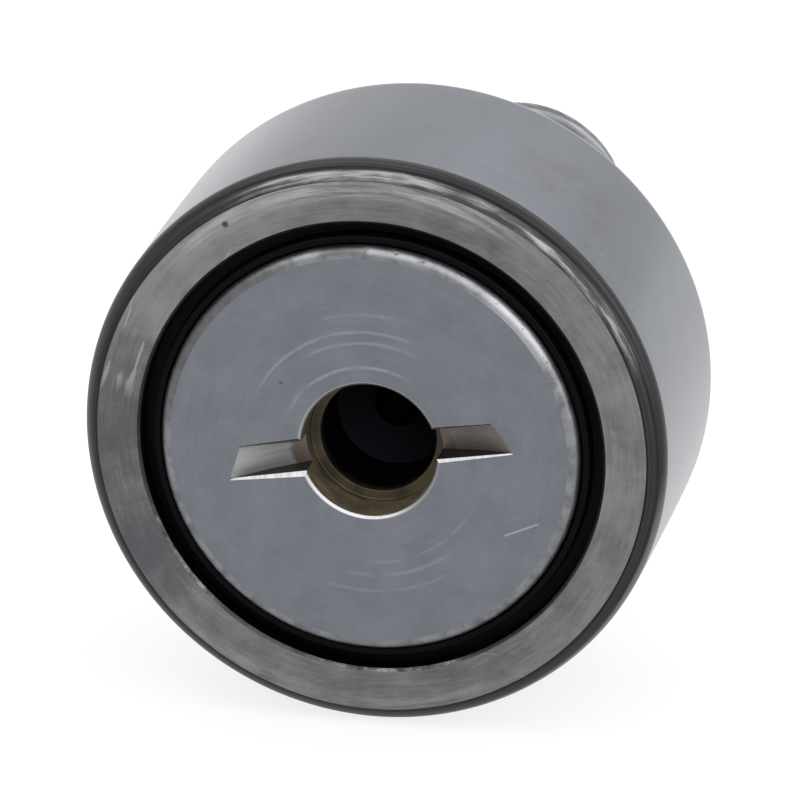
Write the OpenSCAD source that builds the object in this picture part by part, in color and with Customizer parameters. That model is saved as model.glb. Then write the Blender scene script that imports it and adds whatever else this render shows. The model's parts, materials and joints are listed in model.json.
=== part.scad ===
// Stud-type cam follower (track roller): a crowned roller on caged needles round a thick stud.
// Frame: the stud's axis is Y. Y = 0 is the shoulder that seats against the machine, the shank
// and its thread point to +Y, and the slotted head faces -Y.

/* [Roller] */
// Outside diameter of the roller, over its crown
roller_d = 30; // [29:0.1:32]
// Width of the roller
roller_w = 14.6; // [14:0.1:15]
// Radius of the crown ground along the tread
crown_r = 500; // [200:50:1000]
// Radius of the corner between the tread and each side face
corner_r = 1.5; // [1:0.1:1.8]
// How far the ground side face cuts into the corner's round
side_grind = 0.15; // [0.05:0.01:0.3]
// Diameter of the recess that holds each seal
recess_d = 23.8; // [23.4:0.1:24.2]
// Depth of the recess that holds each seal
recess_depth = 2.5; // [2.3:0.1:2.7]
// Width of the small chamfer round the mouth of each recess
recess_chamfer = 0.15; // [0.1:0.05:0.3]

/* [Stud] */
// Diameter of the plain shank, and of the thread
shank_d = 12; // [11.8:0.1:12]
// Length of the stud behind the shoulder
shank_len = 24.5; // [22:0.5:32]
// Length of the threaded end
thread_len = 13; // [11:0.5:13]
// Pitch of the thread
thread_pitch = 1.5; // [1.25:0.25:1.75]
// Chamfer at the tip of the thread
tip_chamfer = 1; // [0.6:0.1:1.2]
// Diameter of the head and of the flange ring
flange_d = 21.5; // [21:0.05:21.6]
// Thickness of the head
head_t = 2.2; // [2.1:0.1:2.4]
// How far the head stands out of the roller
head_proud = 0.4; // [0.2:0.1:0.5]
// Chamfer round the head and round the flange ring
flange_chamfer = 0.4; // [0.2:0.1:0.5]
// Thickness of the flange ring pressed on behind the needles
flange_ring_t = 2.4; // [2.2:0.1:2.5]
// Diameter of the seat that the flange ring is pressed on
seat_d = 14.2; // [13.8:0.1:14.4]
// Gap between the roller's back face and the shoulder
roller_gap = 0.6; // [0.4:0.1:0.7]

/* [Screwdriver slot] */
// Width of the slot between its walls
slot_w = 1.6; // [1:0.1:2]
// Depth of the slot at the stud's axis
slot_depth = 1.95; // [1.7:0.05:2.3]
// Radius of the disc that cuts the slot's curved floor
slot_cutter_r = 13.5; // [8:0.1:16]
// How much deeper the floor is along its lower wall than along its upper wall
slot_floor_slope = 0.4; // [0:0.05:0.5]
// Chamfer along both edges of the slot
slot_chamfer = 0.2; // [0.1:0.05:0.4]
// Turn of the slot about the stud's axis, in degrees
slot_angle = 9.9; // [0:0.1:45]

/* [Lubrication holes] */
// Diameter of the bore at each end that takes a press-in nipple
nipple_d = 6; // [5.8:0.1:6.2]
// Depth of the bore at the head, from the head's face
head_bore_depth = 6.3; // [5.5:0.1:8]
// Depth of the bore at the threaded end
tip_bore_depth = 7; // [6:0.5:9]
// Diameter of the counterbore in the head
counterbore_d = 7; // [6.8:0.1:7.4]
// Depth of the counterbore in the head
counterbore_depth = 2.4; // [2.35:0.05:2.8]
// Chamfer round the mouth of each bore
mouth_chamfer = 0.15; // [0.1:0.05:0.4]
// Diameter of the duct along the stud and of the cross holes
duct_d = 2.5; // [2:0.1:3]
// Distance of the shank's cross hole from the shoulder
shank_hole_y = 5.5; // [4:0.5:7]

/* [Needles and cage] */
// Number of needles
needle_count = 16; // [12:1:17]
// Diameter of a needle
needle_d = 2.5; // [2.3:0.1:2.5]
// Radius of the rounding at a needle's ends
needle_round = 0.35; // [0.2:0.05:0.5]
// Diameter of the circle that the needles' axes lie on
pitch_d = 17.5; // [17.4:0.05:17.6]
// Radial gap between a needle and each raceway
race_gap = 0.01; // [0.01:0.005:0.03]
// Radial thickness of the cage
cage_t = 1.3; // [1:0.1:1.5]
// Gap between each end of the cage and the seal beside it
cage_gap = 0.1; // [0.05:0.05:0.3]
// Width of the cage's rim beyond its windows
cage_rim = 0.65; // [0.5:0.05:1]
// Gap all round a needle in its pocket
pocket_gap = 0.05; // [0.03:0.01:0.08]

/* [Seals] */
// Gap between the washer part and the flange that it runs behind
washer_gap = 0.06; // [0.04:0.01:0.1]
// Inside diameter of the washer part
washer_bore_d = 16.4; // [16:0.1:17]
// Radial gap between the lip and the flange that it runs round
lip_gap = 0.08; // [0.05:0.01:0.12]
// Radial width of the lip
lip_w = 0.4; // [0.3:0.05:0.6]
// Depth of the lip's top below the roller's side face
lip_depth = 0.15; // [0.1:0.05:0.5]
// Depth of the trough outside the lip below the roller's side face
trough_depth = 1; // [0.7:0.05:1.3]

/* [Hidden] */
needle_names = [for (i = [1 : needle_count]) str("needle_", i < 10 ? "0" : "", i)];

$fn = 96;
crown_fn = 720;
eps = 0.01;

// Places along the stud's axis, counted from the shoulder
roller_back = -roller_gap;
roller_front = roller_back - roller_w;
roller_mid = (roller_front + roller_back) / 2;
head_face = roller_front - head_proud;
head_back = head_face + head_t;
flange_ring_front = -flange_ring_t;
thread_start = shank_len - thread_len;

// Lengths of the cage, its windows and the needles, between the two recesses of the roller
cage_len = roller_w - 2 * recess_depth - 2 * cage_gap;
window_len = cage_len - 2 * cage_rim;
needle_len = window_len - 2 * pocket_gap;

// Radii
corner_len = corner_r - side_grind;
tread_end_r = roller_d / 2 - pow(roller_w / 2 - corner_len, 2) / (2 * crown_r);
flange_r = flange_d / 2;
inner_race_r = (pitch_d - needle_d) / 2 - race_gap;
outer_race_r = (pitch_d + needle_d) / 2 + race_gap;
recess_r = recess_d / 2;
lip_r = flange_r + lip_gap;
duct_r = duct_d / 2;

// ISO metric thread form: flat crests of pitch / 8 and flat roots of pitch / 4
crest_r = shank_d / 2 - 0.03;
root_r = shank_d / 2 - 0.6134 * thread_pitch;
crest_half = 1 / 16;
root_half = 1 / 8;
run_out = 1.5 * thread_pitch;
thread_sides = 32;
rings_per_turn = 8;
thread_overlap = 0.1;

// Turns a shape built along Z so that its +Z points to +Y of the part.
module along_y() {
    rotate([-90, 0, 0]) children();
}

// Corner outline to take away from a square corner at the origin, which leaves a round of radius r.
// sx and sy say which way the material lies.
module round_off(r, sx, sy) {
    difference() {
        translate([sx > 0 ? -eps : -r, sy > 0 ? -eps : -r]) square(r + eps);
        translate([sx * r, sy * r]) circle(r = r);
    }
}

// Outline of a flange from y0 to y1 between two radii, with its outer corner at y_chamfer chamfered.
module flange_outline(r_in, y0, y1, y_chamfer) {
    c = flange_chamfer;
    difference() {
        translate([r_in, y0]) square([flange_r - r_in, y1 - y0]);
        translate([flange_r, y_chamfer]) rotate(45) square(c * sqrt(2), center = true);
    }
}

// Distance from the middle of the nearest crest, as a share of the pitch, from 0 to 0.5.
function crest_distance(turns) = abs(turns - floor(turns) - 0.5);

// Radius of the plain thread form at a given number of turns along its helix.
function form_r(turns) =
    let (share = (crest_distance(turns) - crest_half) / (0.5 - root_half - crest_half))
    crest_r - (crest_r - root_r) * max(0, min(1, share));

// Radius of the thread at distance y past its start: it runs out of the shank and ends in a chamfer.
function thread_r(y, turn) =
    let (runs_out = crest_r - (crest_r - root_r) * max(0, y) / run_out)
    min(max(form_r(y / thread_pitch - turn), runs_out), crest_r - tip_chamfer + thread_len - y);

// Threaded end as one closed skin of rings, from just inside the shank to the tip.
module thread() {
    rings = round((thread_len + thread_overlap) / thread_pitch * rings_per_turn);
    step = (thread_len + thread_overlap) / rings;
    points = [
        for (ring = [0 : rings], side = [0 : thread_sides - 1])
            let (y = ring * step - thread_overlap)
            let (r = thread_r(y, side / thread_sides))
            let (angle = 360 * side / thread_sides)
            [r * cos(angle), r * sin(angle), y]
    ];
    walls = [
        for (ring = [0 : rings - 1], side = [0 : thread_sides - 1])
            let (next = (side + 1) % thread_sides)
            let (low = ring * thread_sides)
            let (high = low + thread_sides)
            each [
                [low + side, high + side, high + next],
                [low + side, high + next, low + next]
            ]
    ];
    start = [for (side = [0 : thread_sides - 1]) side];
    tip = [for (side = [thread_sides - 1 : -1 : 0]) rings * thread_sides + side];
    translate([0, 0, thread_start]) polyhedron(points, concat([start], walls, [tip]));
}

// Solid of the stud without its holes and slot.
module stud_blank() {
    rotate_extrude() {
        flange_outline(0, head_face, head_back, head_face);
        translate([0, head_back]) square([inner_race_r, flange_ring_front - head_back]);
        translate([0, flange_ring_front - eps]) square([seat_d / 2, flange_ring_t + eps]);
        translate([0, -eps]) square([shank_d / 2, thread_start + eps]);
    }
    thread();
}

// Blind bore from z = 0 towards +Z, with a chamfered mouth and the cone of a drill point.
module nipple_bore(r, depth) {
    rotate_extrude() polygon([
        [0, -eps],
        [r + mouth_chamfer + eps, -eps],
        [r, mouth_chamfer],
        [r, depth],
        [duct_r, depth + (r - duct_r) / 2],
        [0, depth + (r - duct_r) / 2]
    ]);
}

// Lubrication bores of both ends, the duct that joins them and the two cross holes.
module lubrication_holes() {
    translate([0, 0, head_face]) nipple_bore(nipple_d / 2, head_bore_depth);
    translate([0, 0, head_face]) rotate_extrude() polygon([
        [0, -eps],
        [counterbore_d / 2 + mouth_chamfer + eps, -eps],
        [counterbore_d / 2, mouth_chamfer],
        [counterbore_d / 2, counterbore_depth],
        [0, counterbore_depth]
    ]);
    translate([0, 0, shank_len]) mirror([0, 0, 1]) nipple_bore(nipple_d / 2, tip_bore_depth);
    translate([0, 0, head_face + 1]) cylinder(r = duct_r, h = shank_len - head_face - 2);
    for (y = [roller_mid, shank_hole_y])
        translate([0, 0, y]) rotate([90, 0, 0]) cylinder(r = duct_r, h = roller_d);
}

// Cutter for the screwdriver slot: a disc for the curved floor and a bar along each edge.
module slot_cutter() {
    rotate(-slot_angle) translate([0, 0, head_face]) {
        translate([0, slot_w / 2, slot_depth - slot_cutter_r])
            rotate([90, 0, 0])
                cylinder(
                    r1 = slot_cutter_r + slot_floor_slope / 2,
                    r2 = slot_cutter_r - slot_floor_slope / 2,
                    h = slot_w
                );
        bar_w = slot_chamfer * sqrt(2);
        for (side = [-1, 1])
            translate([0, side * slot_w / 2, 0])
                rotate([45, 0, 0])
                    cube([slot_length(side), bar_w, bar_w], center = true);
    }
}

// Length of the slot at the head's face along its lower wall (side = 1) or upper wall (side = -1).
function slot_length(side) =
    let (r = slot_cutter_r + side * slot_floor_slope / 2)
    2 * sqrt(r * r - pow(slot_cutter_r - slot_depth, 2));

module stud() {
    color("slategray") along_y() difference() {
        stud_blank();
        lubrication_holes();
        slot_cutter();
    }
}

module flange_ring() {
    color("lightslategray") along_y() rotate_extrude()
        flange_outline(seat_d / 2, flange_ring_front, 0, 0);
}

// The roller: crowned tread, round corners, a recess in each side and the outer raceway.
module outer_ring() {
    color("silver") along_y() translate([0, 0, roller_mid]) rotate_extrude() difference() {
        intersection() {
            translate([outer_race_r, -roller_w / 2]) square([roller_d / 2 - outer_race_r, roller_w]);
            translate([roller_d / 2 - crown_r, 0]) circle(r = crown_r, $fn = crown_fn);
        }
        for (side = [-1, 1]) translate([0, side * roller_w / 2]) {
            translate([tread_end_r, side * side_grind]) round_off(corner_r, -1, -side);
            translate([0, -side * recess_depth / 2])
                square([2 * recess_r, recess_depth], center = true);
            translate([recess_r, 0]) rotate(45) square(recess_chamfer * sqrt(2), center = true);
        }
    }
}

// Seal in its recess: a washer that runs between roller and flange, a body in the recess and a lip.
// It is built with the roller's side face at z = 0 and the roller's middle towards +Z, and
// flange_z is the back of the flange that its washer runs behind.
module seal(flange_z) {
    floor_z = recess_depth;
    washer_z = flange_z + washer_gap;
    color([0.06, 0.06, 0.065]) rotate_extrude() difference() {
        union() {
            translate([washer_bore_d / 2, washer_z])
                square([recess_r - washer_bore_d / 2, floor_z - washer_z]);
            translate([lip_r, trough_depth]) square([recess_r - lip_r, floor_z - trough_depth]);
            translate([lip_r, lip_depth]) square([lip_w, floor_z - lip_depth]);
        }
        translate([lip_r + lip_w, lip_depth]) round_off(lip_w / 2, -1, 1);
    }
}

module front_seal() {
    along_y() translate([0, 0, roller_front]) seal(head_back - roller_front);
}

module rear_seal() {
    along_y() translate([0, 0, roller_back]) mirror([0, 0, 1]) seal(roller_back - flange_ring_front);
}

// Cage: a tube with one window for each needle.
module cage() {
    color("darkgoldenrod") along_y() translate([0, 0, roller_mid]) difference() {
        rotate_extrude()
            translate([(pitch_d - cage_t) / 2, -cage_len / 2]) square([cage_t, cage_len]);
        for (i = [0 : needle_count - 1])
            rotate(360 * i / needle_count) translate([pitch_d / 2, 0, 0])
                cube([2 * cage_t, needle_d + 2 * pocket_gap, window_len], center = true);
    }
}

// One needle, in its pocket. Needle 0 lies on the +X side and the others follow round the stud.
module needle(i) {
    color("gainsboro") along_y()
        rotate(360 * i / needle_count)
            translate([pitch_d / 2, 0, roller_mid])
                rotate_extrude() difference() {
                    translate([0, -needle_len / 2]) square([needle_d / 2, needle_len]);
                    for (side = [-1, 1])
                        translate([needle_d / 2, side * needle_len / 2])
                            round_off(needle_round, -1, -side);
                }
}

stud();
flange_ring();
outer_ring();
front_seal();
rear_seal();
cage();
for (i = [0 : needle_count - 1])
    needle(i);
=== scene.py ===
"""Looks of the stud-type cam follower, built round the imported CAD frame.

Outlines are (radius, y, rounding, finish) in millimetres, in the part's own frame: the stud's axis
is Y, the slotted head faces -Y and Y = 0 is the shoulder. Each outline is turned round the axis,
and the finish named at a point is that of the stretch from there to the next point.
"""

import json
import math

import bmesh
import bpy
from mathutils import Matrix, Vector


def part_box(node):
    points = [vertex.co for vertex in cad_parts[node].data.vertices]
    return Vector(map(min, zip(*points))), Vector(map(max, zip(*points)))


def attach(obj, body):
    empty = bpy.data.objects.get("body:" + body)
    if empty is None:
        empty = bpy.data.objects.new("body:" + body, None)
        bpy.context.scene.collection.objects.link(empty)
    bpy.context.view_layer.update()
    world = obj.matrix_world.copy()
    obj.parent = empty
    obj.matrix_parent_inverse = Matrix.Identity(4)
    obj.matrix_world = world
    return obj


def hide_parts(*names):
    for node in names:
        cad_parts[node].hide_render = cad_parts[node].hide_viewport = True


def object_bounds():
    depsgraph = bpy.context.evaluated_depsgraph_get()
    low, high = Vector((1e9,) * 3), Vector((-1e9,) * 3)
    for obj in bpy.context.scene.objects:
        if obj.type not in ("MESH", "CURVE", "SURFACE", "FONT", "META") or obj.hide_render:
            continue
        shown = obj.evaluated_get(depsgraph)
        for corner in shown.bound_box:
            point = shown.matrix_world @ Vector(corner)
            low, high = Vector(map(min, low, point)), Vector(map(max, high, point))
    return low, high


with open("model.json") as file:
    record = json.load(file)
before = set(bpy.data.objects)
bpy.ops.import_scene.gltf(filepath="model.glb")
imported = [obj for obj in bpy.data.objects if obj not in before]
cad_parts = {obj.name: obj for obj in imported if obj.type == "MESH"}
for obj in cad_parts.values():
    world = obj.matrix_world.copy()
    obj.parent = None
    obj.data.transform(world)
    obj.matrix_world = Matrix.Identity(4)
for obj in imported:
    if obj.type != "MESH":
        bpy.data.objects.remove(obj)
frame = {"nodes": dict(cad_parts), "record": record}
CAD_LOW, CAD_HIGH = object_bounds()

MM = 0.001


# ---------------------------------------------------------------- sizes, in mm

def box_mm(node):
    """Lowest and highest corner of a CAD node in millimetres, rounded to a hundredth."""
    low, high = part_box(node)
    return [round(v / MM, 2) for v in low], [round(v / MM, 2) for v in high]


MOUNTS = {mount["name"]: mount for mount in frame["record"]["mounts"]}

ring_low, ring_high = box_mm("outer_ring")
stud_low, stud_high = box_mm("stud")
flange_ring_low = box_mm("flange_ring")[0]
seal_high = box_mm("front_seal")[1]

# The roller. CROWN_R is the long curve of its tread, and the side faces are ground SIDE_GRIND deep,
# so each round corner meets them at an edge.
ROLLER_R = round(ring_high[0], 1)
ROLLER_FRONT = ring_low[1]
ROLLER_BACK = ring_high[1]
ROLLER_MID = (ROLLER_FRONT + ROLLER_BACK) / 2
CROWN_R = 500
CORNER_R = 1.5
SIDE_GRIND = 0.15
RECESS_R = seal_high[0]
RECESS_DEPTH = seal_high[1] - ROLLER_FRONT
RECESS_CHAMFER = 0.15
OUTER_RACE_R = 10.01

# The stud and the flange ring on it
HEAD_THICKNESS = 2.2
HEAD_FACE = stud_low[1]
HEAD_BACK = HEAD_FACE + HEAD_THICKNESS
HEAD_ROUND = 0.55
TIP = stud_high[1]
FLANGE_R = stud_high[0]
FLANGE_CHAMFER = 0.4
FLANGE_RING_FRONT = flange_ring_low[1]
SEAT_R = 7.1
SEAT_CHAMFER = 0.1
INNER_RACE_R = 7.49
SHANK_R = MOUNTS["stud_shank"]["dims"]["r_mm"]

# Its holes. The cross holes are a shade narrower than the duct, so that they cut its wall cleanly.
NIPPLE_R = MOUNTS["head_nipple_bore"]["dims"]["r_mm"]
HEAD_BORE_DEPTH = 6.3
TIP_BORE_DEPTH = 7.0
HEAD_BORE_END = HEAD_FACE + HEAD_BORE_DEPTH
TIP_BORE_END = TIP - TIP_BORE_DEPTH
COUNTERBORE_R = 3.5
COUNTERBORE_END = MOUNTS["head_nipple_bore"]["pos_m"][1] / MM
MOUTH_CHAMFER = 0.15
DUCT_R = 1.25
CROSS_HOLE_R = DUCT_R * 0.98
CROSS_HOLE_LENGTH = 12
SHANK_HOLE_Y = MOUNTS["shank_cross_hole"]["pos_m"][1] / MM

# ISO metric thread: flats at crest and root are given as half widths in shares of the pitch
THREAD_START = MOUNTS["stud_shank"]["dims"]["length_mm"]
THREAD_PITCH = 1.5
THREAD_CREST_GAP = 0.03
THREAD_HEIGHT = 0.6134 * THREAD_PITCH
THREAD_CREST_R = SHANK_R - THREAD_CREST_GAP
THREAD_ROOT_R = SHANK_R - THREAD_HEIGHT
THREAD_CREST_HALF = 1 / 16
THREAD_ROOT_HALF = 1 / 8
THREAD_RUN_OUT = 1.5 * THREAD_PITCH
TIP_CHAMFER = 1.0

# The slot. Its chamfers are filed by hand: SLOT_FILING gives places along the slot, as shares of its
# length from the middle, and the chamfer there as a share of SLOT_CHAMFER.
SLOT_DEGREES = 9.9
SLOT_WIDTH = 1.6
SLOT_DEPTH = 1.95
SLOT_CUTTER_R = 13.5
SLOT_FLOOR_SLOPE = 0.4
SLOT_CHAMFER = 0.2
SLOT_FILING = ((-0.5, 0.4), (-0.22, 1.2), (0.22, 0.8), (0.5, 0.3))

# The seals
SEAL_LIP_GAP = 0.08
SEAL_LIP_R = FLANGE_R + SEAL_LIP_GAP
SEAL_LIP_WIDTH = 0.4
SEAL_LIP_DEPTH = 0.15
SEAL_TROUGH_DEPTH = 1.0
SEAL_WASHER_GAP = 0.06
SEAL_WASHER_DEPTH = HEAD_BACK + SEAL_WASHER_GAP - ROLLER_FRONT
WASHER_BORE_R = 8.2

# Marks of wear and work. Places on a face are (x, z); each lathe mark, a turned groove with a painted
# highlight where it catches the light, is the radius of an arc, the direction of its middle, half its
# sweep and its strength, with directions and sweeps in degrees.
HEAD_GOUGE = ((6.85, -4.03), (8.86, -3.14))
HEAD_GOUGE_WIDTH = 0.07
FACE_PIT = (-7.38, 11.36)
LATHE_MARK_GLINTS = [
    (4.45, 108, 50, 1.0),
    (5.75, 98, 36, 0.7),
    (6.33, 110, 46, 0.8),
    (7.25, 95, 16, 0.5),
    (5.95, 300, 32, 0.45),
    (6.65, 285, 28, 0.5),
    (7.50, 280, 34, 0.4),
    (6.33, 205, 18, 0.35),
]

# How finely the shapes are drawn
SEGMENTS = 192
STUD_SEGMENTS = 96
ROLLER_SEGMENTS = 256
SLOT_DISC_SEGMENTS = 256
CROSS_HOLE_SEGMENTS = 48
THREAD_RINGS_PER_TURN = 48
ROUNDING_STEPS = 6
HEAD_ROUND_STEPS = 7
CORNER_STEPS = 12
TREAD_STEPS = 16
# Steps of the roller's back corner, next to the tread, that are ground as bright as the tread
BACK_CORNER_BRIGHT = 5
# A rounding takes at most this share of the stretches on either side of its corner
ROUNDING_SHARE = 0.45
EDGE_ANGLE = math.radians(24)


# ---------------------------------------------------------------- turned shapes

def rounded(outline, closed=True):
    """Replaces each corner that has a rounding by a short curve, and returns (radius, y, finish)."""
    points = []
    count = len(outline)
    for i, (r, y, rounding, finish) in enumerate(outline):
        corner = Vector((r, y))
        at_end = not closed and i in (0, count - 1)
        if not rounding or at_end:
            points.append((r, y, finish))
            continue
        before = Vector(outline[i - 1][:2])
        after = Vector(outline[(i + 1) % count][:2])
        to_before = before - corner
        to_after = after - corner
        shorter = min(to_before.length, to_after.length)
        reach = min(rounding, ROUNDING_SHARE * shorter)
        start = corner + to_before.normalized() * reach
        end = corner + to_after.normalized() * reach
        for step in range(ROUNDING_STEPS + 1):
            t = step / ROUNDING_STEPS
            p = start * (1 - t) ** 2 + corner * 2 * t * (1 - t) + end * t ** 2
            points.append((p.x, p.y, finish if t > 0.5 else outline[i - 1][3]))
    return points


def arc(centre_r, centre_y, radius, start, end, steps, finish):
    """Points on a circle in the outline's plane, from angle start to end in degrees."""
    points = []
    for i in range(steps + 1):
        angle = math.radians(start + (end - start) * i / steps)
        r = centre_r + radius * math.cos(angle)
        y = centre_y + radius * math.sin(angle)
        points.append((r, y, 0, finish))
    return points


def ring_of_points(radius, y, segments):
    """One ring of points round the stud's axis; radius is a number or a function of the turn."""
    points = []
    for i in range(segments):
        turn = i / segments
        r = radius(turn) if callable(radius) else radius
        angle = 2 * math.pi * turn
        points.append((r * math.cos(angle) * MM, y * MM, r * math.sin(angle) * MM))
    return points


def new_piece(name, vertices, faces, materials):
    """Mesh object in the scene, with its materials in their slots."""
    mesh = bpy.data.meshes.new(name)
    mesh.from_pydata(vertices, [], faces)
    for material in materials:
        mesh.materials.append(material)
    piece = bpy.data.objects.new(name, mesh)
    bpy.context.scene.collection.objects.link(piece)
    return piece


def face_outwards(piece):
    """Makes a closed mesh's normals point out of it."""
    bm = bmesh.new()
    bm.from_mesh(piece.data)
    bmesh.ops.recalc_face_normals(bm, faces=bm.faces)
    bm.to_mesh(piece.data)
    bm.free()


def turned(name, rings, finishes, segments=SEGMENTS):
    """Closed skin through rings given as (radius, y, finish); the last ring joins the first."""
    names = list(finishes)
    vertices = []
    for radius, y, _ in rings:
        vertices += ring_of_points(radius, y, segments)
    faces = []
    face_finish = []
    for k, (_, _, finish) in enumerate(rings):
        here = k * segments
        there = (k + 1) % len(rings) * segments
        for i in range(segments):
            j = (i + 1) % segments
            faces.append((here + i, here + j, there + j, there + i))
            face_finish.append(names.index(finish))
    piece = new_piece(name, vertices, faces, finishes.values())
    piece.data.polygons.foreach_set("material_index", face_finish)
    face_outwards(piece)
    return piece


def smooth(piece):
    """Smooth shading with sharp edges wherever two faces meet at more than EDGE_ANGLE.

    The weights let a wide face keep its own direction, so that only small roundings shade round.
    """
    piece.data.shade_smooth()
    piece.data.set_sharp_from_angle(angle=EDGE_ANGLE)
    weights = piece.modifiers.new("weights", "WEIGHTED_NORMAL")
    weights.keep_sharp = True


def cut(piece, cutters):
    """Takes the cutters away from the piece and removes them."""
    for cutter in cutters:
        modifier = piece.modifiers.new("cut", "BOOLEAN")
        modifier.operation = "DIFFERENCE"
        modifier.solver = "MANIFOLD"
        modifier.object = cutter
        with bpy.context.temp_override(object=piece, active_object=piece):
            bpy.ops.object.modifier_apply(modifier=modifier.name)
    for cutter in cutters:
        bpy.data.objects.remove(cutter, do_unlink=True)


# ---------------------------------------------------------------- cutters

def cylinder_cutter(name, r_start, r_end, length, matrix, side, ends, segments):
    """Closed cylinder or cone along its own Z, from z = 0 to length, placed by matrix (mm).

    side and ends are the finishes that it leaves behind.
    """
    vertices = []
    for r, z in ((r_start, 0), (r_end, length)):
        for i in range(segments):
            angle = 2 * math.pi * i / segments
            vertices.append(matrix @ Vector((r * math.cos(angle), r * math.sin(angle), z)) * MM)
    walls = [
        (i, (i + 1) % segments, segments + (i + 1) % segments, segments + i)
        for i in range(segments)
    ]
    caps = [tuple(reversed(range(segments))), tuple(range(segments, 2 * segments))]
    cutter = new_piece(name, vertices, walls + caps, [side, ends])
    cutter.data.polygons.foreach_set("material_index", [0] * len(walls) + [1] * len(caps))
    face_outwards(cutter)
    return cutter


def bar_cutter(name, sections, matrix, material):
    """Square bar along its own X through (x, width) sections, placed by matrix (mm)."""
    corners = ((-1, -1), (1, -1), (1, 1), (-1, 1))
    vertices = [
        matrix @ Vector((x, y * width / 2, z * width / 2)) * MM
        for x, width in sections for y, z in corners
    ]
    faces = [(0, 1, 2, 3), tuple(len(vertices) - 4 + i for i in range(4))]
    for start in range(0, len(vertices) - 4, 4):
        for i in range(4):
            j = (i + 1) % 4
            faces.append((start + i, start + j, start + 4 + j, start + 4 + i))
    cutter = new_piece(name, vertices, faces, [material])
    face_outwards(cutter)
    return cutter


def slot_cutters(floor, wall, edge):
    """The disc for the slot's floor and one bar for the chamfer along each of its edges."""
    turn = Matrix.Rotation(-math.radians(SLOT_DEGREES), 4, "Y")
    disc_y = HEAD_FACE + SLOT_DEPTH - SLOT_CUTTER_R
    disc = cylinder_cutter(
        "slot_disc",
        SLOT_CUTTER_R + SLOT_FLOOR_SLOPE / 2,
        SLOT_CUTTER_R - SLOT_FLOOR_SLOPE / 2,
        SLOT_WIDTH,
        turn @ Matrix.Translation((0, disc_y, -SLOT_WIDTH / 2)),
        floor,
        wall,
        SLOT_DISC_SEGMENTS,
    )
    bars = []
    for side in (-1, 1):
        r = SLOT_CUTTER_R - side * SLOT_FLOOR_SLOPE / 2
        length = 2 * math.sqrt(r ** 2 - (SLOT_CUTTER_R - SLOT_DEPTH) ** 2)
        place = Matrix.Translation((0, HEAD_FACE, side * SLOT_WIDTH / 2))
        lean = Matrix.Rotation(math.radians(45), 4, "X")
        sections = [(x * length, w * SLOT_CHAMFER * math.sqrt(2)) for x, w in SLOT_FILING]
        bars.append(bar_cutter("slot_edge", sections, turn @ place @ lean, edge))
    return [disc] + bars


def cross_hole_cutters(wall):
    """Drills from the stud's duct up to the raceway and up through the shank."""
    return [
        cylinder_cutter(
            "cross_hole",
            CROSS_HOLE_R,
            CROSS_HOLE_R,
            CROSS_HOLE_LENGTH,
            Matrix.Translation((0, y, 0)),
            wall,
            wall,
            CROSS_HOLE_SEGMENTS,
        )
        for y in (ROLLER_MID, SHANK_HOLE_Y)
    ]


# ---------------------------------------------------------------- materials

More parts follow.
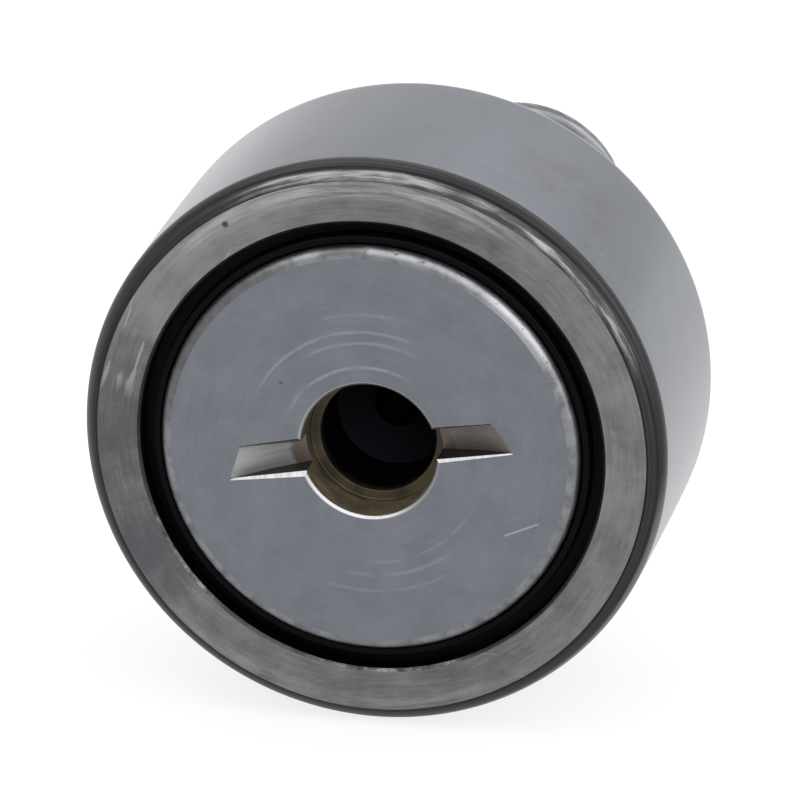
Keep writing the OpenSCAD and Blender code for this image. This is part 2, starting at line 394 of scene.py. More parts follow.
class Surface:
    """A material under construction, with its coordinates in millimetres."""

    def __init__(self, name, metallic):
        self.material = bpy.data.materials.new(name)
        self.material.use_nodes = True
        self.tree = self.material.node_tree
        self.tree.nodes.clear()
        self.shader = self.node("ShaderNodeBsdfPrincipled")
        self.shader.inputs["Metallic"].default_value = metallic
        output = self.node("ShaderNodeOutputMaterial")
        self.link(self.shader.outputs["BSDF"], output.inputs["Surface"])
        coordinates = self.node("ShaderNodeTexCoord")
        scaled = self.node("ShaderNodeVectorMath")
        scaled.operation = "SCALE"
        scaled.inputs["Scale"].default_value = 1 / MM
        self.link(coordinates.outputs["Object"], scaled.inputs[0])
        self.position = scaled.outputs[0]
        split = self.node("ShaderNodeSeparateXYZ")
        self.link(self.position, split.inputs[0])
        self.x, self.y, self.z = split.outputs
        squares = self.math("ADD", self.math("POWER", self.x, 2), self.math("POWER", self.z, 2))
        self.r = self.math("SQRT", squares)
        self.cos = self.math("DIVIDE", self.x, self.r)
        self.sin = self.math("DIVIDE", self.z, self.r)

    def node(self, kind):
        """New node in the material."""
        return self.tree.nodes.new(kind)

    def link(self, source, target):
        self.tree.links.new(source, target)

    def feed(self, target, value):
        """Links a socket, or sets a plain number or colour."""
        if isinstance(value, bpy.types.NodeSocket):
            self.link(value, target)
        elif isinstance(value, tuple):
            target.default_value = (*value, 1.0)
        else:
            target.default_value = value

    def math(self, operation, a, b=0.0):
        """One step of arithmetic; operations on a single value leave b out."""
        node = self.node("ShaderNodeMath")
        node.operation = operation
        self.feed(node.inputs[0], a)
        self.feed(node.inputs[1], b)
        return node.outputs[0]

    def times(self, value, *others):
        """Product of all the values."""
        for other in others:
            value = self.math("MULTIPLY", value, other)
        return value

    def most(self, value, *others):
        """Largest of all the values."""
        for other in others:
            value = self.math("MAXIMUM", value, other)
        return value

    def off(self, value, place):
        """How far a value is from a place, on either side of it."""
        return self.math("ABSOLUTE", self.math("SUBTRACT", value, place))

    def weigh(self, *pairs):
        """Sum of values, each times its weight."""
        total = None
        for value, weight in pairs:
            term = self.times(value, weight)
            total = term if total is None else self.math("ADD", total, term)
        return total

    def combine(self, x, y, z):
        """Vector of three values."""
        node = self.node("ShaderNodeCombineXYZ")
        for target, value in zip(node.inputs, (x, y, z)):
            self.feed(target, value)
        return node.outputs[0]

    def noise(self, vector, scale=1.0, detail=3.0, roughness=0.55):
        """Noise, mostly between 0.3 and 0.7; scale says how many features there are to a unit."""
        node = self.node("ShaderNodeTexNoise")
        self.feed(node.inputs["Vector"], vector)
        node.inputs["Scale"].default_value = scale
        node.inputs["Detail"].default_value = detail
        node.inputs["Roughness"].default_value = roughness
        return node.outputs["Fac"]

    def band(self, value, low, high):
        """0 at low and 1 at high, smoothly; low may be the larger."""
        node = self.node("ShaderNodeMapRange")
        node.interpolation_type = "SMOOTHSTEP"
        self.feed(node.inputs["Value"], value)
        node.inputs["From Min"].default_value = low
        node.inputs["From Max"].default_value = high
        return node.outputs["Result"]

    def span(self, value, low, high):
        """Spreads a 0 to 1 value over low to high."""
        node = self.node("ShaderNodeMapRange")
        self.feed(node.inputs["Value"], value)
        node.inputs["To Min"].default_value = low
        node.inputs["To Max"].default_value = high
        return node.outputs["Result"]

    def blend(self, share, a, b):
        """Colour a where share is 0 and colour b where it is 1."""
        node = self.node("ShaderNodeMix")
        node.data_type = "RGBA"
        self.feed(node.inputs["Factor"], share)
        # The Mix node's colour sockets come after those of its other data types
        self.feed(node.inputs[6], a)
        self.feed(node.inputs[7], b)
        return node.outputs[2]

    def sector(self, degrees, half_width, softness=10.0):
        """1 within half_width degrees of a direction round the axis, then fading to 0.

        0 degrees is +X and 90 is up; softness is how many degrees the fading takes.
        """
        turn = math.radians(degrees)
        toward = self.weigh((self.cos, math.cos(turn)), (self.sin, math.sin(turn)))
        outer = math.cos(math.radians(half_width + softness))
        inner = math.cos(math.radians(half_width))
        return self.band(toward, outer, inner)

    def straight(self, degrees, along, across, seed=0.0):
        """Coordinates in the head's plane stretched along a direction, for straight scratches."""
        c, s = math.cos(math.radians(degrees)), math.sin(math.radians(degrees))
        u = self.weigh((self.x, c * along), (self.z, s * along))
        v = self.weigh((self.z, c * across), (self.x, -s * across))
        return self.combine(u, v, seed)

    def circular(self, across, along, radial=True):
        """Coordinates for marks that run round the axis: fine across, slow along."""
        fine = self.times(self.r if radial else self.y, across)
        return self.combine(fine, self.times(self.cos, along), self.times(self.sin, along))

    def scratches(self, vector, cutoff, softness=0.06):
        """1 on the peaks of a noise above cutoff, else 0: lines where the coordinates are stretched."""
        return self.band(self.noise(vector, detail=2.0, roughness=0.5), cutoff, cutoff + softness)

    def distance(self, x, z):
        """Distance from the line at x and z along the axis, in millimetres."""
        squares = [self.math("POWER", self.math("SUBTRACT", value, place), 2)
                   for value, place in ((self.x, x), (self.z, z))]
        return self.math("SQRT", self.math("ADD", *squares))

    def stroke(self, start, end, width, fade=0.3):
        """One straight scratch between two (x, z) places on a face: 1 on it and 0 elsewhere."""
        run = Vector(end) - Vector(start)
        way = run.normalized()
        along = self.weigh((self.x, way.x), (self.z, way.y))
        across = self.weigh((self.x, -way.y), (self.z, way.x))
        first = Vector(start).dot(way)
        last = first + run.length
        middle = Vector(start).dot(Vector((-way.y, way.x)))
        line = self.band(self.off(across, middle), width, width / 3)
        ends = self.times(self.band(along, first, first + fade), self.band(along, last, last - fade))
        return self.times(line, ends)

    def bump(self, height, depth):
        """Bump of the given depth in millimetres."""
        node = self.node("ShaderNodeBump")
        node.inputs["Distance"].default_value = depth * MM
        self.feed(node.inputs["Height"], height)
        self.link(node.outputs["Normal"], self.shader.inputs["Normal"])

    def finish(self, colour, roughness):
        """Gives the shader its colour and roughness and returns the finished material."""
        self.feed(self.shader.inputs["Base Color"], colour)
        self.feed(self.shader.inputs["Roughness"], roughness)
        return self.material


def turned_steel(name, dark, light, roughness, radial, across=9.0, along=0.8, depth=0.004):
    """Lathe-turned steel: fine lines round the axis, patchy shade."""
    s = Surface(name, 1.0)
    lines = s.noise(s.circular(across, along, radial), detail=4.0, roughness=0.65)
    patches = s.noise(s.position, scale=0.35)
    shade = s.weigh((lines, 0.6), (patches, 0.4))
    s.bump(lines, depth)
    colour = s.blend(s.band(shade, 0.3, 0.7), dark, light)
    return s.finish(colour, s.span(lines, roughness - 0.06, roughness + 0.08))


def lathe_mark_glints(s):
    """Painted highlights on turned grooves: faint broken arcs round the axis, each one fading towards
    its ends, drawn only over the sweeps where the grooves would catch the light.
    """
    marks = []
    for radius, direction, sweep, strength in LATHE_MARK_GLINTS:
        line = s.band(s.off(s.r, radius), 0.13, 0.03)
        marks.append(s.times(line, s.sector(direction, sweep * 0.5, sweep * 0.6), strength))
    broken = s.band(s.noise(s.circular(1.5, 4.0)), 0.34, 0.56)
    return s.times(s.most(*marks), broken)


def head_face():
    """Head: satin grey with faint turned lines, painted highlights on arcs left by the tool, scratches
    and small pits.
    """
    s = Surface("head_face", 1.0)
    fine = s.noise(s.circular(5.0, 1.2), detail=4.0, roughness=0.6)
    cloud = s.noise(s.position, scale=0.45, detail=5.0, roughness=0.65)
    glinting_arcs = lathe_mark_glints(s)
    scratches = s.scratches(s.straight(35, 0.30, 5.0, 3.0), 0.74)
    gouge = s.stroke(*HEAD_GOUGE, HEAD_GOUGE_WIDTH)
    pits = s.scratches(s.combine(s.x, s.z, 7.0), 0.75)
    shade = s.weigh((fine, 0.25), (cloud, 0.75))
    base = s.blend(s.band(shade, 0.34, 0.66), (0.148, 0.157, 0.178), (0.176, 0.186, 0.209))
    # Scratches and the gouge are lighter metal; the arcs add a painted highlight
    bright = s.most(s.times(scratches, 0.25), s.times(gouge, 0.6), s.times(glinting_arcs, 0.34))
    colour = s.blend(bright, base, (0.40, 0.42, 0.46))
    colour = s.blend(s.times(pits, 0.7), colour, (0.05, 0.05, 0.055))
    s.bump(s.weigh((fine, 0.4), (glinting_arcs, -0.8), (scratches, -0.4), (gouge, -1.0), (pits, -1.0)), 0.005)
    return s.finish(colour, s.span(cloud, 0.36, 0.48))


def head_chamfer():
    """Rounded edge of the head: mottled and pitted, with a painted highlight towards the upper right,
    painted shade towards the upper left and a stain.
    """
    s = Surface("head_chamfer", 1.0)
    mottle = s.noise(s.position, scale=1.1, detail=5.0, roughness=0.65)
    pits = s.times(s.band(s.noise(s.position, scale=2.6), 0.62, 0.74), s.sector(75, 50, 15))
    base = s.blend(s.band(mottle, 0.30, 0.66), (0.132, 0.136, 0.146), (0.230, 0.235, 0.245))
    # Painted highlight in a narrow stretch towards the upper right
    base = s.blend(s.times(s.sector(43, 5, 11), 0.65), base, (0.38, 0.385, 0.40))
    stain = s.times(s.sector(97, 3, 5), s.band(s.r, FLANGE_R - 0.45, FLANGE_R - 0.25))
    # Painted shade towards the upper left
    painted_upper_left_shade = s.times(s.sector(144, 20, 16), 0.55)
    s.bump(s.weigh((mottle, 0.8), (pits, -1.0)), 0.02)
    dark = s.most(s.times(pits, 0.6), s.times(stain, 0.7), painted_upper_left_shade)
    colour = s.blend(dark, base, (0.06, 0.058, 0.055))
    return s.finish(colour, s.span(mottle, 0.36, 0.5))


def bright_edge():
    """Freshly cut chamfers: brighter and smoother, with a few nicks."""
    s = Surface("bright_edge", 1.0)
    lines = s.noise(s.circular(10.0, 0.8))
    nicks = s.band(s.noise(s.position, scale=1.3), 0.62, 0.72)
    s.bump(s.weigh((lines, 0.6), (nicks, -1.0)), 0.006)
    base = s.blend(s.band(lines, 0.35, 0.65), (0.25, 0.255, 0.265), (0.34, 0.345, 0.355))
    colour = s.blend(s.times(nicks, 0.6), base, (0.12, 0.12, 0.13))
    return s.finish(colour, s.span(lines, 0.26, 0.38))


def worn_edge():
    """Small edge round the roller's recess: dull and broken by rubs, with a painted highlight along two
    stretches, down to the left and at the bottom.
    """
    s = Surface("worn_edge", 1.0)
    rubs_and_glints = s.band(s.noise(s.circular(1.0, 9.0), detail=4.0, roughness=0.7), 0.40, 0.66)
    # Painted glints: the rubs are bright mostly along these two stretches
    glint_stretches = s.most(s.sector(213, 8, 9), s.sector(275, 13, 10))
    rubs_and_glints = s.times(rubs_and_glints, s.span(glint_stretches, 0.12, 1.0))
    s.bump(rubs_and_glints, 0.006)
    colour = s.blend(rubs_and_glints, (0.04, 0.041, 0.044), (0.17, 0.17, 0.18))
    return s.finish(colour, s.span(rubs_and_glints, 0.46, 0.34))


def oily_bore():
    """Counterbore and nipple bore: dark steel under a brown film of old oil, with painted shade on the
    counterbore's floor and deeper in the bore, and a painted orange-brown glint on the right.
    """
    s = Surface("oily_bore", 1.0)
    film = s.noise(s.circular(1.2, 2.4, radial=False), detail=4.0, roughness=0.6)
    thickness = s.band(film, 0.36, 0.64)
    lines = s.noise(s.circular(9.0, 1.0, radial=False))
    # Painted shade: nearly black deeper in the nipple bore
    painted_depth_shade = s.band(s.y, COUNTERBORE_END - 0.1, COUNTERBORE_END + 0.9)
    floor = s.band(s.y, COUNTERBORE_END - 0.30, COUNTERBORE_END - 0.05)
    glint = s.times(s.sector(12, 14, 12), s.band(s.y, COUNTERBORE_END - 0.3, COUNTERBORE_END - 1.2))
    wall = s.blend(thickness, (0.19, 0.162, 0.115), (0.33, 0.27, 0.165))
    wall = s.blend(s.sector(172, 22, 14), wall, (0.19, 0.155, 0.135))
    wall = s.blend(glint, wall, (0.34, 0.185, 0.095))
    # Painted shade: the counterbore's floor darker than its wall, still under the oil film
    shaded_seat = s.blend(thickness, (0.060, 0.052, 0.040), (0.100, 0.084, 0.056))
    colour = s.blend(floor, wall, shaded_seat)
    colour = s.blend(painted_depth_shade, colour, (0.008, 0.009, 0.012))
    s.bump(s.weigh((film, 1.0), (lines, 0.4)), 0.02)
    return s.finish(colour, s.span(film, 0.50, 0.66))


def slot_floor():
    """Milled floor of the slot: dull grey, stained brown beside the bore and on its right part."""
    s = Surface("slot_floor", 0.5)
    milled = s.noise(s.straight(SLOT_DEGREES, 0.4, 3.0, 1.0))
    wander = s.weigh((s.r, 1.0), (s.noise(s.position, scale=0.9), 0.8))
    beside_bore = s.band(wander, COUNTERBORE_R + 1.3, COUNTERBORE_R + 1.0)
    right = s.times(s.band(s.x, 3.0, 4.0), s.span(s.noise(s.position, scale=0.8), 0.4, 1.1))
    base = s.blend(s.band(milled, 0.3, 0.7), (0.20, 0.20, 0.205), (0.28, 0.28, 0.285))
    s.bump(milled, 0.004)
    colour = s.blend(s.most(beside_bore, right), base, (0.120, 0.095, 0.080))
    return s.finish(colour, s.span(milled, 0.36, 0.50))


def shaded_slot_wall():
    """Walls of the slot: painted shade, dark as in the slot's own shadow and darker than its floor,
    with lines along it.
    """
    s = Surface("shaded_slot_wall", 1.0)
    lines = s.noise(s.combine(s.times(s.x, 0.5), s.times(s.y, 5.0), s.z))
    s.bump(lines, 0.006)
    # Painted shade: the walls are kept dark where the slot shades itself
    colour = s.blend(s.band(lines, 0.3, 0.7), (0.030, 0.028, 0.027), (0.075, 0.070, 0.066))
    return s.finish(colour, 0.5)


def ground_face():
    """Side face of the roller: ground, with short soft streaks, cloudy patches, and rubbed streaks with
    a painted highlight near the outer edge at the top and, weaker, at the bottom.
    """
    s = Surface("ground_face", 1.0)
    fine = s.noise(s.circular(5.0, 6.0), detail=4.0, roughness=0.6)
    level = s.noise(s.straight(14, 0.5, 5.0), roughness=0.6)
    cloud = s.noise(s.position, scale=0.5, detail=4.0, roughness=0.6)
    warm = s.band(s.noise(s.combine(s.x, s.z, 11.0), scale=0.22, detail=2.0), 0.42, 0.62)
    lighter = s.most(s.sector(134, 12, 26), s.times(s.sector(8, 14, 24), 0.45))
    darker = s.sector(190, 18, 24)
    shade = s.weigh((fine, 0.35), (level, 0.12), (cloud, 0.53), (lighter, 0.16), (darker, -0.12))
    tone = s.band(shade, 0.26, 0.80)
    neutral = s.blend(tone, (0.092, 0.095, 0.101), (0.228, 0.230, 0.233))
    brown = s.blend(tone, (0.096, 0.094, 0.094), (0.231, 0.227, 0.222))
    base = s.blend(warm, neutral, brown)
    hard = s.most(
        s.scratches(s.straight(58, 0.35, 4.0, 2.0), 0.72),
        s.scratches(s.straight(2, 0.3, 4.5, 7.0), 0.72),
    )
    streaks = s.band(s.noise(s.circular(4.0, 3.5), detail=5.0, roughness=0.7), 0.34, 0.68)
    # Painted highlight: rubbed streaks lit near the outer edge at the top and, weaker, at the bottom
    outer = s.times(s.band(s.r, ROLLER_R - 2.1, ROLLER_R - 1.2), s.sector(97, 24, 22))
    lower = s.times(s.band(s.r, ROLLER_R - 1.8, ROLLER_R - 1.2), s.sector(262, 26, 22), 0.35)
    ticks = s.times(s.scratches(s.straight(72, 0.25, 2.2, 4.0), 0.58), s.sector(158, 9, 6))
    streak_glints = s.times(s.most(outer, lower), streaks)
    bright = s.most(s.times(hard, 0.35), s.times(streak_glints, 0.9), s.times(ticks, 0.5))
    colour = s.blend(bright, base, (0.40, 0.40, 0.395))
    pit = s.band(s.distance(*FACE_PIT), 0.22, 0.10)
    colour = s.blend(s.times(pit, 0.85), colour, (0.03, 0.03, 0.03))
    s.bump(s.weigh((fine, 0.6), (level, 0.2), (hard, -0.5), (pit, -3.0)), 0.004)
    return s.finish(colour, s.span(cloud, 0.34, 0.48))


def dark_corner():
    """Round corners of the roller: dark from hardening, with turned lines, a painted highlight along
    the middle of the corner that is brightest in rubbed streaks at the top and upper right, and a paler
    line next to the tread towards the lower right.
    """
    s = Surface("dark_corner", 1.0)
    lines = s.noise(s.circular(8.0, 0.7, radial=False), detail=4.0, roughness=0.6)
    from_tread = s.math("SUBTRACT", ROLLER_R, s.r)
    wander = s.weigh((from_tread, 1.0), (s.noise(s.circular(0.3, 3.0)), 0.22))
    # Painted highlight along the middle of the corner
    middle = s.times(s.band(wander, 0.44, 0.58), s.band(wander, 1.02, 0.78))
    streaks = s.band(s.noise(s.circular(6.0, 3.5, radial=False), detail=5.0, roughness=0.7), 0.40, 0.62)
    # Painted glints: the rubbed streaks are bright towards the upper right and the top
    glint_sectors = s.most(s.sector(46, 16, 12), s.times(s.sector(96, 14, 12), 0.8))
    rubs_and_glints = s.times(middle, streaks, glint_sectors)
    # A paler line next to the tread towards the lower right
    pale_line = s.times(s.band(wander, 0.14, 0.22), s.band(wander, 0.46, 0.34), s.sector(318, 26, 16))
    base = s.blend(s.band(lines, 0.36, 0.64), (0.009, 0.009, 0.010), (0.034, 0.033, 0.033))
    base = s.blend(s.times(middle, 0.45), base, (0.055, 0.055, 0.058))
    base = s.blend(s.times(pale_line, 0.8), base, (0.125, 0.127, 0.135))
    colour = s.blend(s.times(rubs_and_glints, 0.85), base, (0.24, 0.24, 0.245))
    s.bump(s.weigh((lines, 1.0), (rubs_and_glints, -0.5)), 0.008)
    return s.finish(colour, s.span(rubs_and_glints, 0.40, 0.30))


def ground_tread():
    """Tread: fine grinding lines round the axis, a bluish sheen, faint bands, a stain and pits."""
    s = Surface("ground_tread", 1.0)
    lines = s.noise(s.circular(12.0, 1.3, radial=False), detail=4.0, roughness=0.6)
    bands = s.noise(s.combine(s.times(s.y, 0.04), s.times(s.cos, 3.4), s.times(s.sin, 3.4)), detail=2.0)
    cloud = s.noise(s.position, scale=0.4, detail=4.0, roughness=0.6)
    pits = s.scratches(s.position, 0.77)
    shade = s.weigh((lines, 0.3), (bands, 0.4), (cloud, 0.3))
    base = s.blend(s.band(shade, 0.3, 0.7), (0.136, 0.147, 0.170), (0.170, 0.182, 0.206))
    patchy = s.band(s.noise(s.position, scale=0.6, detail=4.0), 0.30, 0.70)
    from_middle = s.math("SUBTRACT", s.y, ROLLER_MID)
    stretch = s.times(s.band(from_middle, -4.1, -0.6), s.band(from_middle, 3.9, 0.4))
    smear = s.times(s.sector(54, 5, 10), patchy, stretch)
    colour = s.blend(s.times(smear, 0.42), base, (0.125, 0.112, 0.108))
    specks = s.band(s.noise(s.position, scale=2.2), 0.60, 0.68)
    low_specks = s.times(s.sector(38, 5, 6), s.band(from_middle, -1.6, -4.1))
    specks = s.times(specks, s.most(low_specks, s.times(smear, 0.7)))
    colour = s.blend(s.times(s.most(pits, specks), 0.55), colour, (0.045, 0.042, 0.040))
    s.bump(s.weigh((lines, 1.0), (pits, -1.0)), 0.003)
    return s.finish(colour, s.span(lines, 0.18, 0.28))


def seal_polymer():
    """Moulded black polymer, semi-matt, with faint moulding rings and a little dust."""
    s = Surface("seal_polymer", 0.0)
    grain = s.noise(s.position, scale=9.0)
    rings = s.noise(s.circular(3.0, 0.4), detail=2.0)
    dust = s.band(s.noise(s.position, scale=1.2, detail=4.0), 0.64, 0.78)
    colour = s.blend(s.times(dust, 0.4), (0.0012, 0.0012, 0.0017), (0.016, 0.015, 0.014))
    s.bump(s.weigh((grain, 0.5), (rings, 0.5)), 0.005)
    s.shader.inputs["Specular IOR Level"].default_value = 0.05
    return s.finish(colour, s.span(rings, 0.36, 0.5))


TURNED = dict(dark=(0.17, 0.172, 0.18), light=(0.26, 0.262, 0.27))
STEEL_LOOKS = {
    "turned_side": dict(**TURNED, roughness=0.34, radial=False),
    "turned_face": dict(**TURNED, roughness=0.36, radial=True),
    "ground_shank": dict(
        dark=(0.26, 0.265, 0.28), light=(0.34, 0.345, 0.36), roughness=0.2, radial=False,
        across=18.0, along=1.2, depth=0.002),
    "thread_steel": dict(
        dark=(0.115, 0.118, 0.125), light=(0.23, 0.235, 0.245), roughness=0.34, radial=False,
        across=5.0, along=2.5, depth=0.004),
    "needle_steel": dict(
        dark=(0.42, 0.42, 0.43), light=(0.54, 0.54, 0.55), roughness=0.12, radial=False,
        across=12.0, along=1.0, depth=0.001),
    "cage_steel": dict(
        dark=(0.14, 0.13, 0.11), light=(0.25, 0.23, 0.19), roughness=0.34, radial=False,
        across=4.0, along=1.6, depth=0.006),
}

FINISHES = {name: turned_steel(name, **look) for name, look in STEEL_LOOKS.items()}
for make_finish in (head_face, head_chamfer, bright_edge, worn_edge, oily_bore, slot_floor,
                    shaded_slot_wall, ground_face, dark_corner, ground_tread, seal_polymer):
    FINISHES[make_finish.__name__] = make_finish()


def finishes(*names):
    """The named finishes, in the order of a piece's material slots."""
    return {name: FINISHES[name] for name in names}


# ---------------------------------------------------------------- pieces

def thread_radius(y, turn):
    """Radius of the right-hand thread, with softened corners, at y (mm) and a share of a turn."""
    past = y - THREAD_START
    turns = past / THREAD_PITCH + turn
    off_crest = abs(turns - math.floor(turns) - 0.5)
    share = (off_crest - THREAD_CREST_HALF) / (0.5 - THREAD_ROOT_HALF - THREAD_CREST_HALF)
    share = max(0.0, min(1.0, share))
    # Half way between a straight and an S-shaped flank, which softens the thread's corners
    share = (share + share ** 2 * (3 - 2 * share)) / 2
    form = THREAD_CREST_R - (THREAD_CREST_R - THREAD_ROOT_R) * share
    runs_out = SHANK_R - (SHANK_R - THREAD_ROOT_R) * max(0.0, past) / THREAD_RUN_OUT
    chamfer = THREAD_CREST_R - TIP_CHAMFER + (TIP - y)
    return min(max(form, runs_out), chamfer)


def thread_rings():
    """Rings of the threaded end, between the shank and the tip."""
    length = TIP - THREAD_START
    count = round(length / THREAD_PITCH * THREAD_RINGS_PER_TURN)
    rings = []
    for k in range(1, count):
        y = THREAD_START + length * k / count
        rings.append((lambda turn, y=y: thread_radius(y, turn), y, "thread_steel"))
    return rings


def make_stud():
    """The stud: bore, head, raceway, shank, thread and tip as one turned skin, then slot and holes."""
    bore = [
        (DUCT_R, HEAD_BORE_END + (NIPPLE_R - DUCT_R) / 2, 0, "oily_bore"),
        (NIPPLE_R, HEAD_BORE_END, 0.05, "oily_bore"),
        (NIPPLE_R, COUNTERBORE_END, 0.05, "oily_bore"),
        (COUNTERBORE_R, COUNTERBORE_END, 0.1, "oily_bore"),
        (COUNTERBORE_R, HEAD_FACE + MOUTH_CHAMFER, 0.05, "bright_edge"),
        (COUNTERBORE_R + MOUTH_CHAMFER, HEAD_FACE, 0.05, "head_face"),
    ]
    outside = [
        (FLANGE_R - HEAD_ROUND, HEAD_FACE, 0, "head_chamfer"),
        *arc(FLANGE_R - HEAD_ROUND, HEAD_FACE + HEAD_ROUND, HEAD_ROUND,
             -80, -10, HEAD_ROUND_STEPS, "head_chamfer"),
        (FLANGE_R, HEAD_FACE + HEAD_ROUND, 0, "turned_side"),
        (FLANGE_R, HEAD_BACK, 0.05, "turned_face"),
        (INNER_RACE_R, HEAD_BACK, 0.05, "ground_shank"),
        (INNER_RACE_R, FLANGE_RING_FRONT, 0.05, "turned_face"),
        (SEAT_R, FLANGE_RING_FRONT, 0, "ground_shank"),
        (SEAT_R, 0, 0.05, "turned_face"),
        (SHANK_R, 0, 0, "ground_shank"),
        (SHANK_R, THREAD_START, 0, "thread_steel"),
    ]
    tip = [
        (THREAD_CREST_R - TIP_CHAMFER, TIP, 0, "turned_face"),
        (NIPPLE_R + MOUTH_CHAMFER, TIP, 0.05, "bright_edge"),
        (NIPPLE_R, TIP - MOUTH_CHAMFER, 0.05, "turned_side"),
        (NIPPLE_R, TIP_BORE_END, 0.05, "turned_side"),
        (DUCT_R, TIP_BORE_END - (NIPPLE_R - DUCT_R) / 2, 0, "oily_bore"),
    ]
    head_end = rounded(bore + outside, closed=False)
    rings = head_end + thread_rings() + rounded(tip, closed=False)
    stud = turned("stud_body", rings, finishes(
        "head_face", "head_chamfer", "bright_edge", "oily_bore", "turned_side", "turned_face",
        "ground_shank", "thread_steel", "slot_floor", "shaded_slot_wall"), STUD_SEGMENTS)
    cut(stud, slot_cutters(FINISHES["slot_floor"], FINISHES["shaded_slot_wall"], FINISHES["bright_edge"]))
    cut(stud, cross_hole_cutters(FINISHES["oily_bore"]))
    smooth(stud)
    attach(stud, "stud")
    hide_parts("stud")


def make_flange_ring():
    """The ring pressed on the stud behind the roller; its outer face is the shoulder."""
    outline = [
        (SEAT_R, FLANGE_RING_FRONT, 0, "turned_face"),
        (FLANGE_R, FLANGE_RING_FRONT, 0.06, "turned_side"),
        (FLANGE_R, -FLANGE_CHAMFER, 0.06, "bright_edge"),
        (FLANGE_R - FLANGE_CHAMFER, 0, 0.06, "turned_face"),
        (SEAT_R + SEAT_CHAMFER, 0, 0, "bright_edge"),
        (SEAT_R, -SEAT_CHAMFER, 0, "turned_side"),
    ]
    looks = finishes("turned_side", "turned_face", "bright_edge")
    ring = turned("flange_ring_body", rounded(outline), looks)
    smooth(ring)
    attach(ring, "stud")
    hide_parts("flange_ring")


def tread_r(y):
    """Radius of the crowned tread at y."""
    return ROLLER_R - (y - ROLLER_MID) ** 2 / (2 * CROWN_R)


def roller_half(side):
    """Outline of one half of the roller, from its raceway out to the end of its tread.

    side is -1 for the half in front of the roller's middle and 1 for the half behind it.
    """
    face = ROLLER_FRONT if side < 0 else ROLLER_BACK
    floor = face - side * RECESS_DEPTH
    corner_length = CORNER_R - SIDE_GRIND
    tread_end = face - side * corner_length
    edge_degrees = math.degrees(math.asin(corner_length / CORNER_R))
    centre_r = tread_r(tread_end) - CORNER_R
    corner = arc(centre_r, tread_end, CORNER_R, side * edge_degrees, 0, CORNER_STEPS, "dark_corner")
    return [
        (OUTER_RACE_R, floor, 0.08, "turned_face"),
        (RECESS_R, floor, 0.1, "dark_corner"),
        (RECESS_R, face - side * RECESS_CHAMFER, 0.03, "worn_edge"),
        (RECESS_R + RECESS_CHAMFER, face, 0.03, "ground_face"),
    ] + corner


def make_outer_ring():
    """The roller: its front half, the crowned tread and its back half run backwards."""
    front = roller_half(-1)
    back = roller_half(1)
    tread_start = front.pop()[1]
    tread_end = back.pop()[1]
    tread = []
    for k in range(TREAD_STEPS + 1):
        y = tread_start + (tread_end - tread_start) * k / TREAD_STEPS
        tread.append((tread_r(y), y, 0, "ground_tread"))
    # Run backwards, each stretch of the back half starts at what was its other end
    ends = ["ground_shank"] + [point[3] for point in back[:-1]]
    ends[-BACK_CORNER_BRIGHT:] = ["ground_tread"] * BACK_CORNER_BRIGHT
    back = [(*point[:3], finish) for point, finish in zip(back, ends)]
    outline = front + tread + back[::-1]
    ring = turned("roller_ring", rounded(outline), finishes(
        "ground_face", "dark_corner", "ground_tread", "turned_face", "worn_edge",
        "ground_shank"), ROLLER_SEGMENTS)
    smooth(ring)
    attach(ring, "ring")
    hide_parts("outer_ring")


def make_seal(name, node, face, side):
    """A seal in its recess; side is 1 where the roller's middle lies towards +Y of face."""
    def at(depth):
        return face + side * depth

    lip_out = SEAL_LIP_R + SEAL_LIP_WIDTH
    outline = [
        (WASHER_BORE_R, at(RECESS_DEPTH), 0.08, "seal_polymer"),
        (WASHER_BORE_R, at(SEAL_WASHER_DEPTH), 0.08, "seal_polymer"),
        (SEAL_LIP_R, at(SEAL_WASHER_DEPTH), 0.05, "seal_polymer"),
        (SEAL_LIP_R, at(SEAL_LIP_DEPTH), 0.1, "seal_polymer"),
        (lip_out, at(SEAL_LIP_DEPTH), 0.2, "seal_polymer"),
        (lip_out, at(SEAL_TROUGH_DEPTH), 0.12, "seal_polymer"),
        (RECESS_R, at(SEAL_TROUGH_DEPTH), 0.06, "seal_polymer"),
        (RECESS_R, at(RECESS_DEPTH), 0.06, "seal_polymer"),
    ]
    seal = turned(name, rounded(outline), finishes("seal_polymer"))
    smooth(seal)
    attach(seal, "ring")
    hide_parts(node)


def dress_cad_node(node, finish):
    """Gives a CAD node that stays as it is its material."""
    piece = frame["nodes"][node]
    piece.data.materials.clear()
    piece.data.materials.append(FINISHES[finish])


# ---------------------------------------------------------------- studio

def make_floor():
    """White table that the roller stands on, lit from below so that only a faint shadow shows."""
    s = Surface("light_table", 0.0)
    grain = s.noise(s.position, scale=0.02)
    s.finish(s.blend(grain, (0.10, 0.10, 0.10), (0.11, 0.11, 0.11)), 0.9)
    s.shader.inputs["Specular IOR Level"].default_value = 0.1
    s.shader.inputs["Emission Color"].default_value = (1.0, 1.0, 1.0, 1.0)
    s.shader.inputs["Emission Strength"].default_value = 0.82
    level = CAD_LOW.z
    half = 1500 * MM
    corners = [(-half, -half, level), (half, -half, level), (half, half, level), (-half, half, level)]
    new_piece("floor", corners, [(0, 1, 2, 3)], [s.material])


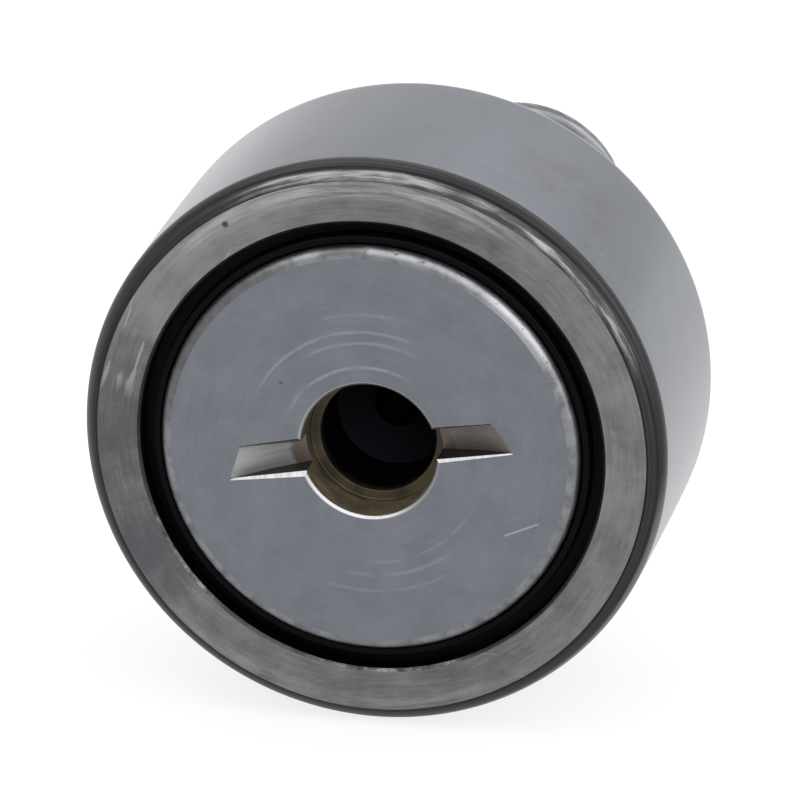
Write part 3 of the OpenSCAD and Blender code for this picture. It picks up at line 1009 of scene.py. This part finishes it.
def make_light_tent():
    """Soft light from all sides, brightest overhead and to the right, dimmer in front and behind.

    The height of a direction above the horizon, leant to the right and lowered in front and behind,
    sets how strong the light from there is.
    """
    lean_right = 0.35
    lower_ahead = 0.35
    horizon, overhead = 0.08, 0.45
    dim, bright = 0.95, 3.0
    world = bpy.data.worlds.new("light_tent")
    bpy.context.scene.world = world
    world.use_nodes = True
    tree = world.node_tree

    def node(kind, operation, first, second):
        made = tree.nodes.new(kind)
        made.operation = operation
        for target, value in zip(made.inputs, (first, second)):
            if isinstance(value, bpy.types.NodeSocket):
                tree.links.new(value, target)
            else:
                target.default_value = value
        return made

    direction = tree.nodes.new("ShaderNodeTexCoord").outputs["Generated"]
    ahead = node("ShaderNodeVectorMath", "ABSOLUTE", direction, (0, 0, 0)).outputs["Vector"]
    raised = node("ShaderNodeVectorMath", "DOT_PRODUCT", direction, (lean_right, 0, 1)).outputs["Value"]
    lowered = node("ShaderNodeVectorMath", "DOT_PRODUCT", ahead, (0, lower_ahead, 0)).outputs["Value"]
    height = node("ShaderNodeMath", "SUBTRACT", raised, lowered).outputs[0]
    glow = tree.nodes.new("ShaderNodeMapRange")
    glow.interpolation_type = "SMOOTHSTEP"
    tree.links.new(height, glow.inputs["Value"])
    glow.inputs["From Min"].default_value = horizon
    glow.inputs["From Max"].default_value = overhead
    glow.inputs["To Min"].default_value = dim
    glow.inputs["To Max"].default_value = bright
    background = tree.nodes["Background"]
    background.inputs["Color"].default_value = (1.0, 1.0, 1.0, 1.0)
    tree.links.new(glow.outputs["Result"], background.inputs["Strength"])


def make_camera():
    """Long lens at the photograph's viewing angle."""
    azimuth = math.radians(12.357)
    elevation = math.radians(20.331)
    distance = 401.6 * MM
    aim_right = 1.516 * MM
    aim_up = 2.441 * MM
    right = Vector((math.cos(azimuth), math.sin(azimuth), 0))
    back = Vector((
        math.sin(azimuth) * math.cos(elevation),
        -math.cos(azimuth) * math.cos(elevation),
        math.sin(elevation),
    ))
    up = back.cross(right)
    face_centre = Vector((0, ROLLER_FRONT * MM, 0))
    data = bpy.data.cameras.new("camera")
    data.lens = 360.0
    data.sensor_width = 36.0
    data.clip_start = 0.01
    data.clip_end = 20.0
    camera = bpy.data.objects.new("camera", data)
    camera.location = face_centre + right * aim_right + up * aim_up + back * distance
    camera.rotation_mode = "QUATERNION"
    camera.rotation_quaternion = Matrix((right, up, back)).transposed().to_quaternion()
    bpy.context.scene.collection.objects.link(camera)
    bpy.context.scene.camera = camera


make_stud()
make_flange_ring()
make_outer_ring()
make_seal("front_seal_ring", "front_seal", ROLLER_FRONT, 1)
make_seal("rear_seal_ring", "rear_seal", ROLLER_BACK, -1)
dress_cad_node("cage", "cage_steel")
for node_name in frame["nodes"]:
    if node_name.startswith("needle_"):
        dress_cad_node(node_name, "needle_steel")

make_floor()
make_light_tent()
make_camera()
bpy.context.scene.view_settings.view_transform = "Standard"
